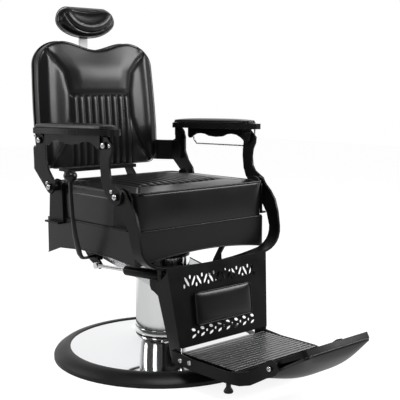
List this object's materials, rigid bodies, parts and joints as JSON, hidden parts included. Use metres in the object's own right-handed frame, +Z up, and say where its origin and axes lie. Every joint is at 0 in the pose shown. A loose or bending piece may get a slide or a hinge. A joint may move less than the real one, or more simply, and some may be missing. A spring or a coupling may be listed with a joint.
{
  "type": "hydraulic barber chair",
  "caption": "Black upholstered barber chair on a round pedestal pump base, with reclining back, linked legrest, level armrests and a pierced calf panel over a ribbed footrest.",
  "frame": {"origin": "centre of the round base on the floor, under the pump axis", "axes": "+Z up, the sitter faces -Y, +X is the sitter's left"},
  "size_m": [0.7823, 1.1911, 1.1445],
  "materials": {
    "chrome": "polished",
    "rubber": "satin",
    "gloss_plastic": "gloss",
    "steel": "zinc plated",
    "leather": "glossy upholstery vinyl",
    "plywood": "plain",
    "tread": "ribbed, dark grey",
    "black_steel": "satin black powder coat"
  },
  "bodies": {
    "base": {"base_plate": "steel", "base_ring": "rubber", "base_cover": "chrome", "pump_body": "chrome", "pump_collar": "chrome", "pedal_bracket": "black_steel"},
    "pedal": {"pump_pedal": "chrome", "pedal_pad": "rubber"},
    "lift": {"ram": "chrome", "shroud": "chrome"},
    "seat": {"seat_mount": "black_steel", "seat_frame": "black_steel", "seat_board": "plywood", "seat_cushion": "leather", "seat_skirt": "leather", "rear_bracket_L": "black_steel", "rear_bracket_R": "black_steel", "front_bracket_L": "black_steel", "front_bracket_R": "black_steel", "front_hoop": "black_steel"},
    "lever": {"recline_lever": "black_steel", "lever_knob": "gloss_plastic"},
    "barrel": {"recline_barrel": "black_steel"},
    "rod": {"recline_rod": "chrome"},
    "back": {"back_cushion": "leather", "back_shell": "leather", "back_frame": "black_steel", "side_block_L": "black_steel", "side_block_R": "black_steel", "back_plate_L": "steel", "back_plate_R": "steel", "rear_post_L": "black_steel", "rear_post_R": "black_steel", "stem_socket": "black_steel"},
    "arm_left": {"arm_board_L": "gloss_plastic", "arm_apron_L": "black_steel", "arm_pad_L": "leather", "towel_bar": "steel"},
    "arm_right": {"arm_board_R": "gloss_plastic", "arm_apron_R": "black_steel", "arm_pad_R": "leather"},
    "post_left": {"front_post_L": "black_steel"},
    "post_right": {"front_post_R": "black_steel"},
    "link_left": {"link_bar_L": "steel"},
    "link_right": {"link_bar_R": "steel"},
    "legrest": {"calf_panel": "black_steel", "calf_pad": "leather", "calf_gusset_L": "black_steel", "calf_gusset_R": "black_steel", "foot_arm_L": "black_steel", "foot_arm_R": "black_steel", "foot_tread": "tread", "foot_bumper_L": "rubber", "foot_bumper_R": "rubber"},
    "flip": {"flip_board": "black_steel", "flip_pad": "leather"},
    "headrest_post": {"headrest_stem": "chrome"},
    "headrest": {"headrest_plate": "black_steel", "headrest_pad": "leather"}
  },
  "joints": [
    {"name": "pedal_press", "type": "hinge", "parent": "base", "child": "pedal", "pos_m": [0.10937, 0.03554, 0.086], "axis": [-0.309, 0.9511, 0], "range_deg": [0, 3], "stiffness_Nm_per_rad": 60, "springref_deg": -20.05},
    {"name": "seat_lift", "type": "slide", "parent": "base", "child": "lift", "axis": [0, 0, 1], "range_m": [0, 0.16]},
    {"name": "seat_swivel", "type": "hinge", "parent": "lift", "child": "seat", "pos_m": [0, 0, 0.34], "axis": [0, 0, 1], "continuous": true},
    {"name": "back_recline", "type": "hinge", "parent": "seat", "child": "back", "pos_m": [0, 0.197, 0.556], "axis": [-1, 0, 0], "range_deg": [0, 40]},
    {"name": "arm_left_level", "type": "hinge", "parent": "back", "child": "arm_left", "pos_m": [0.2856, 0.249, 0.702], "axis": [-1, 0, 0], "range_deg": [-40, 0]},
    {"name": "arm_right_level", "type": "hinge", "parent": "back", "child": "arm_right", "pos_m": [-0.2856, 0.249, 0.702], "axis": [-1, 0, 0], "range_deg": [-40, 0]},
    {"name": "post_left_swing", "type": "hinge", "parent": "seat", "child": "post_left", "pos_m": [0.294, -0.152, 0.556], "axis": [-1, 0, 0], "range_deg": [0, 40]},
    {"name": "post_right_swing", "type": "hinge", "parent": "seat", "child": "post_right", "pos_m": [-0.294, -0.152, 0.556], "axis": [-1, 0, 0], "range_deg": [0, 40]},
    {"name": "link_left_swing", "type": "hinge", "parent": "back", "child": "link_left", "pos_m": [0.1215, 0.23, 0.334], "axis": [-1, 0, 0], "range_deg": [-43.6, 0]},
    {"name": "link_right_swing", "type": "hinge", "parent": "back", "child": "link_right", "pos_m": [-0.1215, 0.23, 0.334], "axis": [-1, 0, 0], "range_deg": [-43.6, 0]},
    {"name": "legrest_swing", "type": "hinge", "parent": "seat", "child": "legrest", "pos_m": [0, -0.18, 0.39], "axis": [-1, 0, 0], "range_deg": [0, 62.8]},
    {"name": "barrel_swing", "type": "hinge", "parent": "seat", "child": "barrel", "pos_m": [-0.155, -0.19, 0.31], "axis": [-1, 0, 0], "range_deg": [-25.3, 0]},
    {"name": "rod_slide", "type": "slide", "parent": "barrel", "child": "rod", "axis": [0, 0.9983, -0.0587], "range_m": [-0.1467, 0]},
    {"name": "lever_pull", "type": "hinge", "parent": "seat", "child": "lever", "pos_m": [-0.25, 0.045, 0.347], "axis": [-1, 0, 0], "range_deg": [0, 14], "stiffness_Nm_per_rad": 6, "springref_deg": -17.19},
    {"name": "footplate_flip", "type": "hinge", "parent": "legrest", "child": "flip", "pos_m": [0, -0.622, 0.13], "axis": [-1, 0, 0], "range_deg": [0, 150]},
    {"name": "headrest_height", "type": "slide", "parent": "back", "child": "headrest_post", "axis": [0, 0, 1], "range_m": [0, 0.08]},
    {"name": "headrest_tilt", "type": "hinge", "parent": "headrest_post", "child": "headrest", "pos_m": [0, 0.44, 1.095], "axis": [-1, 0, 0], "range_deg": [0, 30]}
  ],
  "couplings": [
    {"joint": "arm_left_level", "follows": "back_recline", "ratio": -1},
    {"joint": "arm_right_level", "follows": "back_recline", "ratio": -1},
    {"joint": "post_left_swing", "follows": "back_recline", "ratio": 1},
    {"joint": "post_right_swing", "follows": "back_recline", "ratio": 1},
    {"joint": "link_left_swing", "follows": "back_recline", "ratio": -1.0888},
    {"joint": "link_right_swing", "follows": "back_recline", "ratio": -1.0888},
    {"joint": "legrest_swing", "follows": "back_recline", "ratio": 1.5696},
    {"joint": "barrel_swing", "follows": "back_recline", "ratio": -0.63217},
    {"joint": "rod_slide", "follows": "back_recline", "m_per_rad": -0.20999}
  ]
}
